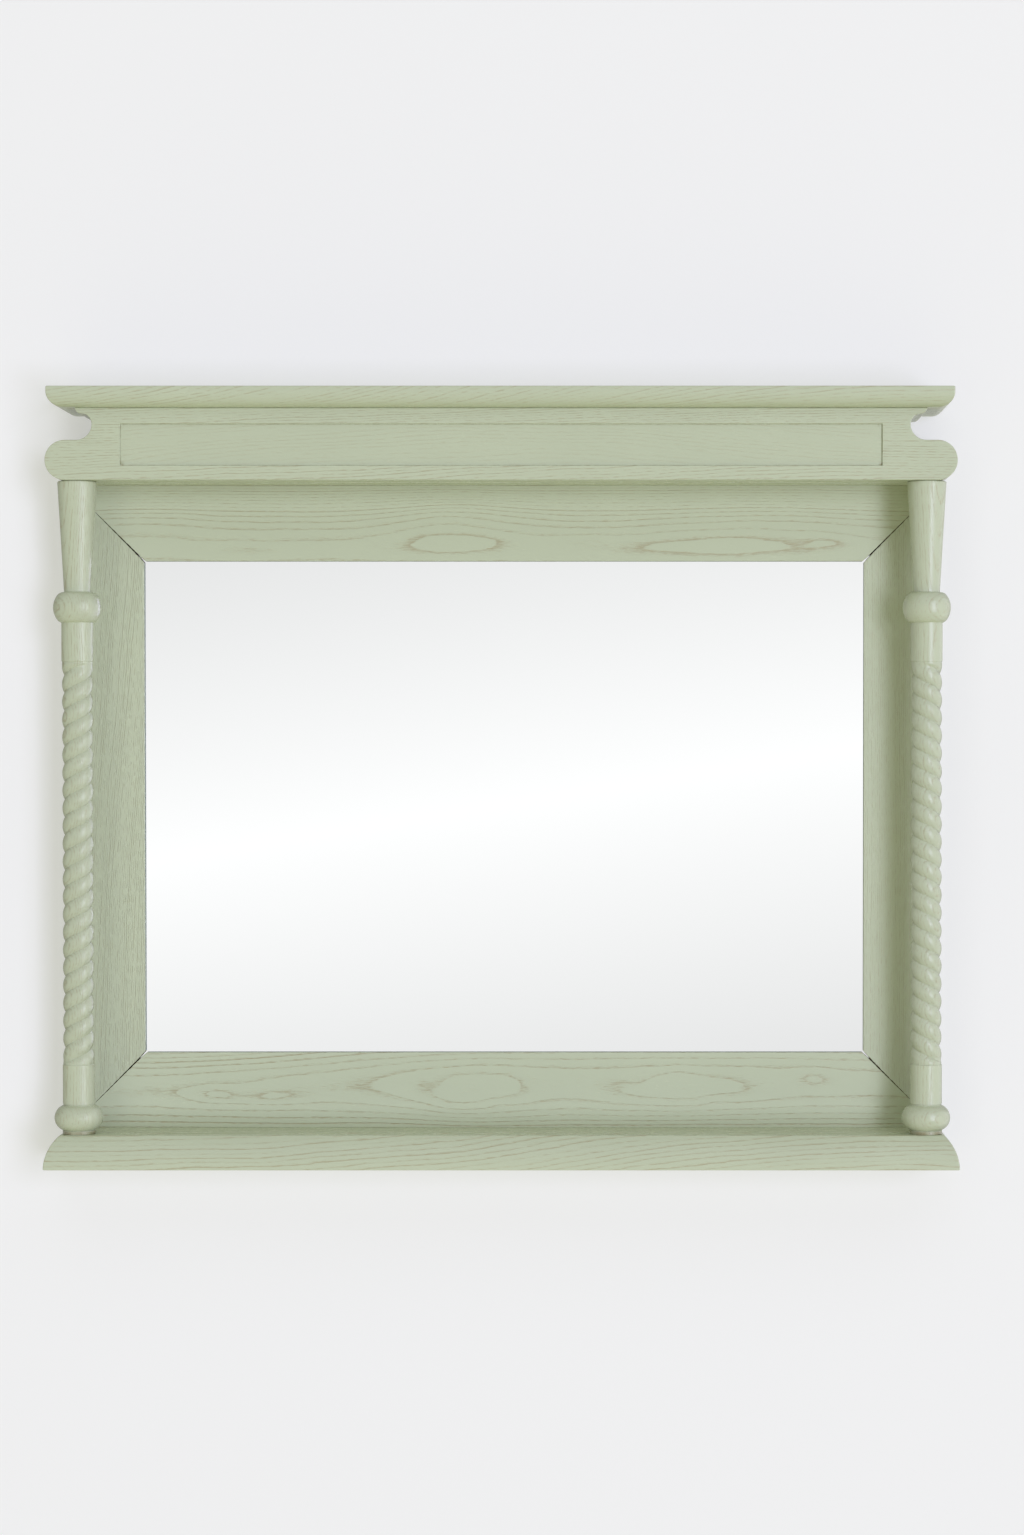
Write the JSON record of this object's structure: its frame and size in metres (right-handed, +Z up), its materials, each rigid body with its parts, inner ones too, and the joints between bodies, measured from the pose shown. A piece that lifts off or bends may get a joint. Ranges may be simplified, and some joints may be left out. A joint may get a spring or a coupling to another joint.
{
  "type": "overmantel mirror",
  "caption": "Wide painted-wood overmantel mirror with mitred frame, rope-twist side columns, shaped frieze with sunk panel, moulded cornice and deep base shelf.",
  "frame": {"origin": "under the middle of the shelf, halfway between the cornice's front edge and the wall plane", "axes": "+X to the viewer's right along the width, +Y towards the wall, +Z up; the mirror looks along -Y"},
  "size_m": [1.07, 0.132, 0.912],
  "materials": {
    "painted_wood": "sage green satin paint over open-grained ash",
    "bare_wood": "unpainted planed wood",
    "hardboard": "brown hardboard",
    "mirror": "silvered float glass",
    "steel": "zinc-plated steel"
  },
  "bodies": {
    "root": {"shelf": "painted_wood", "cornice": "painted_wood", "frieze_board": "painted_wood", "frieze_panel": "painted_wood", "frieze_end_left": "painted_wood", "frieze_end_right": "painted_wood", "frieze_soffit": "painted_wood", "frieze_back_rail": "bare_wood", "glue_blocks": "bare_wood", "column_left": "painted_wood", "column_right": "painted_wood", "column_dowels_top": "bare_wood", "column_dowels_bottom": "bare_wood", "frame_top_rail": "painted_wood", "frame_bottom_rail": "painted_wood", "frame_left_stile": "painted_wood", "frame_right_stile": "painted_wood", "mitre_biscuits": "bare_wood", "mirror_glass": "mirror", "backing_board": "hardboard", "retaining_points": "steel", "hanger_left": "steel", "hanger_right": "steel", "hanger_screws": "steel", "shelf_screws": "steel", "frame_screws": "steel"}
  },
  "joints": []
}
